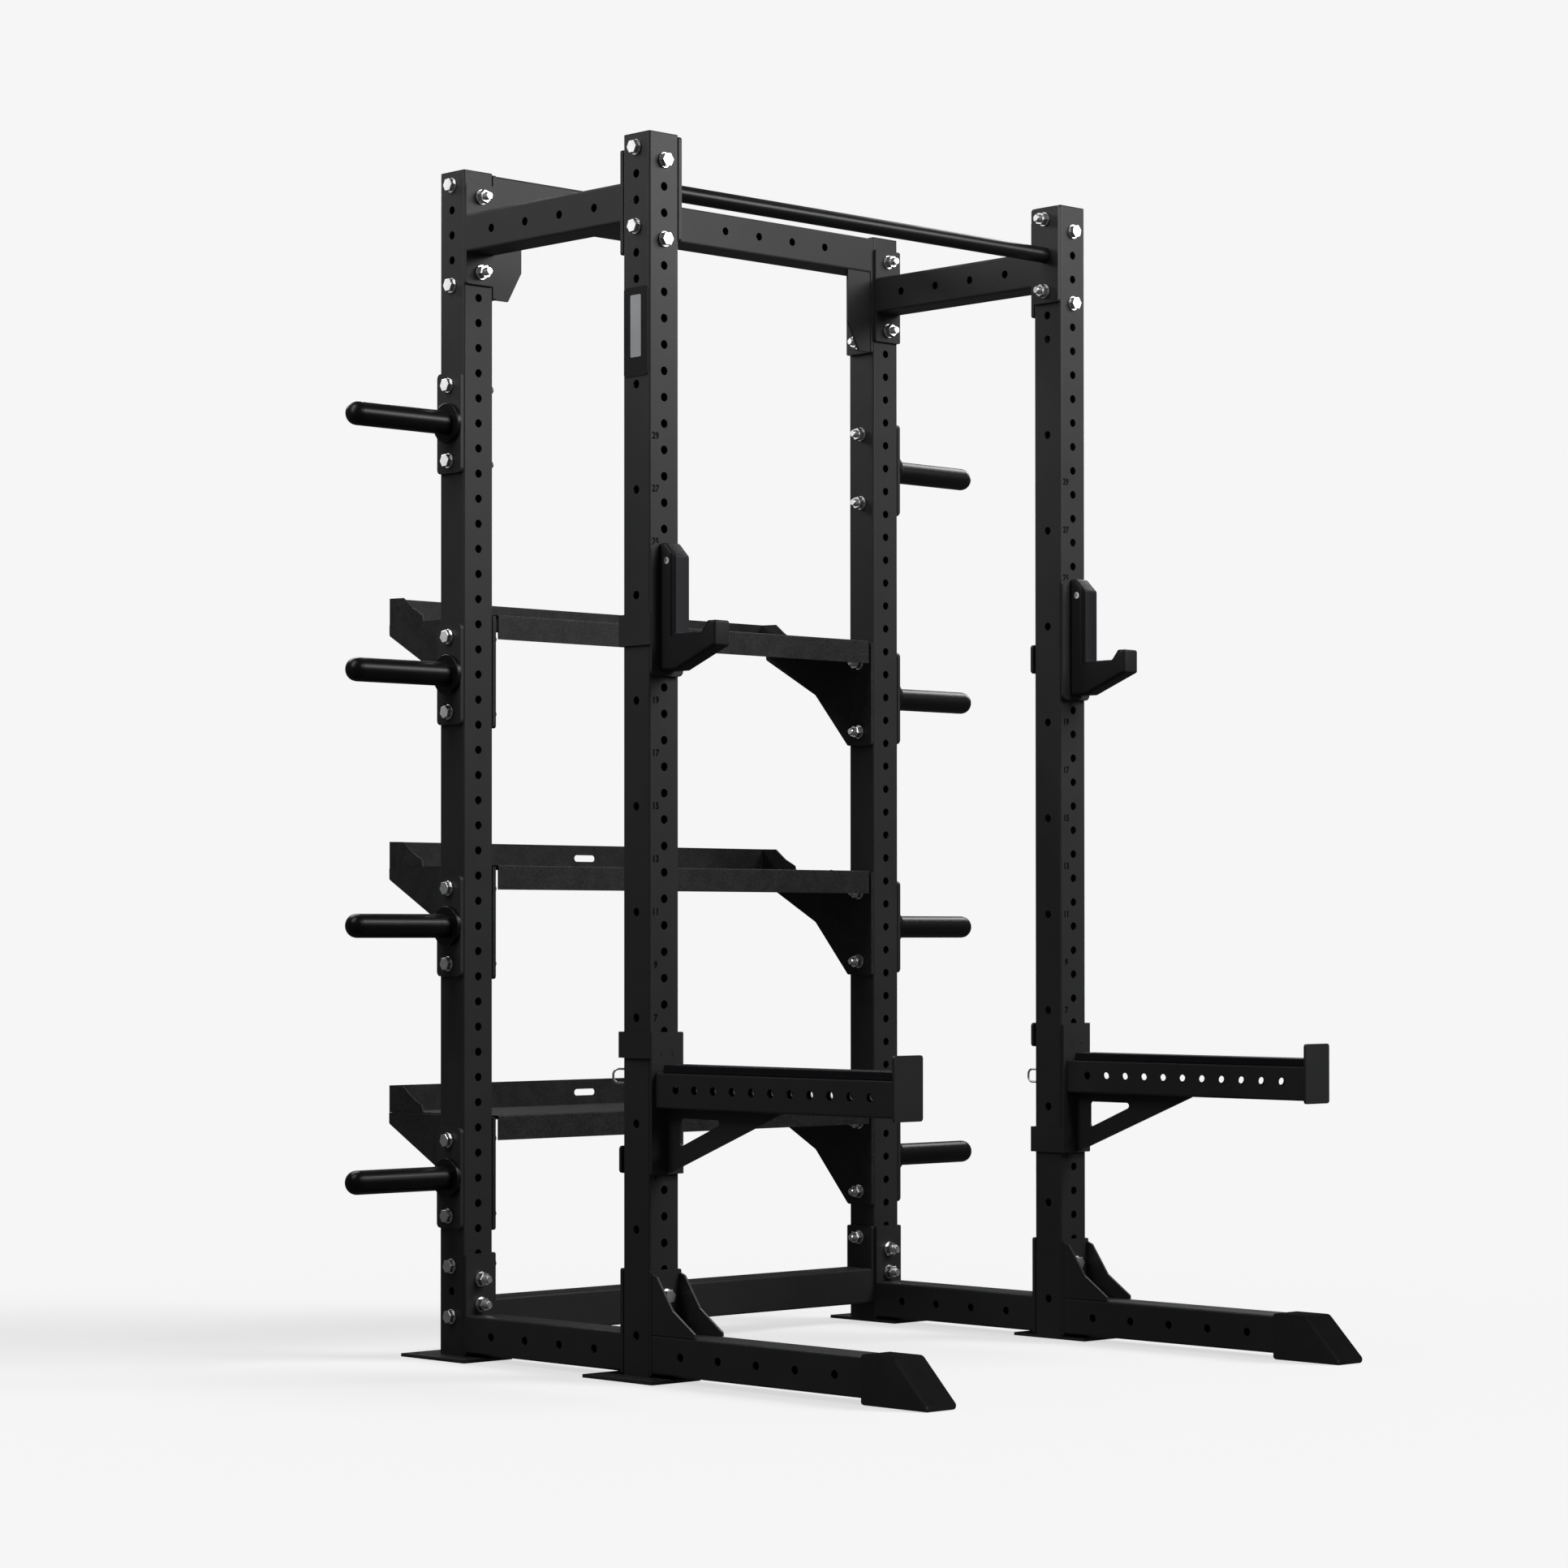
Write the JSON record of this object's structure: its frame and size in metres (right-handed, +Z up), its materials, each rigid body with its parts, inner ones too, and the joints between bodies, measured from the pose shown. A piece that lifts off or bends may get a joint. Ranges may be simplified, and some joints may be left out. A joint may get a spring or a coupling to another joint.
{
  "type": "power cage",
  "caption": "Four-post power cage with perforated uprights, pull-up bar, bar cradles, spotter arms on lock pins, plate storage horns and rear shelves.",
  "frame": {"origin": "on the floor, midway between the four uprights, at the centre of the rectangle of outer floor anchor holes", "axes": "+X to the right seen from the front, +Y from the front to the back, +Z up"},
  "size_m": [1.7722, 1.6465, 2.398],
  "materials": {
    "black_coat": "fine-textured satin powder coat",
    "zinc": "bright zinc plate",
    "steel": "satin",
    "plastic": "fine-grained matt",
    "liner": "smooth matt",
    "label": "satin"
  },
  "bodies": {
    "cage": {"crossmember_base": "black_coat", "crossmember_top": "black_coat", "floor_plates": "black_coat", "foot_left": "plastic", "foot_right": "plastic", "hex_bolts": "zinc", "hex_nuts": "zinc", "horn_1_left": "black_coat", "horn_1_right": "black_coat", "horn_2_left": "black_coat", "horn_2_right": "black_coat", "horn_3_left": "black_coat", "horn_3_right": "black_coat", "horn_4_left": "black_coat", "horn_4_right": "black_coat", "horn_caps": "plastic", "label_plate": "label", "leg_left": "black_coat", "leg_right": "black_coat", "pullup_bar": "black_coat", "shelf_brackets_lower": "black_coat", "shelf_brackets_middle": "black_coat", "shelf_brackets_upper": "black_coat", "shelf_lower": "black_coat", "shelf_middle": "black_coat", "shelf_screws": "zinc", "shelf_upper": "black_coat", "side_rail_base_left": "black_coat", "side_rail_base_right": "black_coat", "side_rail_top_left": "black_coat", "side_rail_top_right": "black_coat", "upright_caps": "plastic", "upright_front_left": "black_coat", "upright_front_right": "black_coat", "upright_rear_left": "black_coat", "upright_rear_right": "black_coat", "washers": "zinc"},
    "cradle_left": {"cradle_bracket_left": "black_coat", "cradle_pad_left": "liner", "cradle_body_left": "plastic", "cradle_liner_left": "liner", "cradle_screws_left": "zinc"},
    "cradle_right": {"cradle_bracket_right": "black_coat", "cradle_pad_right": "liner", "cradle_body_right": "plastic", "cradle_liner_right": "liner", "cradle_screws_right": "zinc"},
    "spotter_left": {"spotter_arm_left": "black_coat", "spotter_pad_left": "liner", "spotter_strip_left": "liner", "spotter_screws_left": "zinc"},
    "spotter_right": {"spotter_arm_right": "black_coat", "spotter_pad_right": "liner", "spotter_strip_right": "liner", "spotter_screws_right": "zinc"},
    "pin_left": {"lock_pin_left": "steel"},
    "pin_right": {"lock_pin_right": "steel"},
    "handle_left": {"pin_handle_left": "steel"},
    "handle_right": {"pin_handle_right": "steel"}
  },
  "joints": [
    {"name": "cradle_swing_left", "type": "hinge", "parent": "cage", "child": "cradle_left", "pos_m": [-0.5842, -0.3175, 1.5318], "axis": [0, 1, 0], "range_deg": [0, 90]},
    {"name": "cradle_swing_right", "type": "hinge", "parent": "cage", "child": "cradle_right", "pos_m": [0.5842, -0.3175, 1.5318], "axis": [0, -1, 0], "range_deg": [0, 90]},
    {"name": "spotter_swing_left", "type": "hinge", "parent": "cage", "child": "spotter_left", "pos_m": [-0.5842, -0.3175, 0.5666], "axis": [0, -1, 0], "range_deg": [0, 90]},
    {"name": "spotter_swing_right", "type": "hinge", "parent": "cage", "child": "spotter_right", "pos_m": [0.5842, -0.3175, 0.5666], "axis": [0, 1, 0], "range_deg": [0, 90]},
    {"name": "pin_pull_left", "type": "slide", "parent": "cage", "child": "pin_left", "axis": [0, 1, 0], "range_m": [0, 0.12]},
    {"name": "handle_turn_left", "type": "hinge", "parent": "pin_left", "child": "handle_left", "pos_m": [-0.5842, -0.2254, 0.5666], "axis": [0, 1, 0], "continuous": true},
    {"name": "pin_pull_right", "type": "slide", "parent": "cage", "child": "pin_right", "axis": [0, 1, 0], "range_m": [0, 0.12]},
    {"name": "handle_turn_right", "type": "hinge", "parent": "pin_right", "child": "handle_right", "pos_m": [0.5842, -0.2254, 0.5666], "axis": [0, 1, 0], "continuous": true}
  ]
}
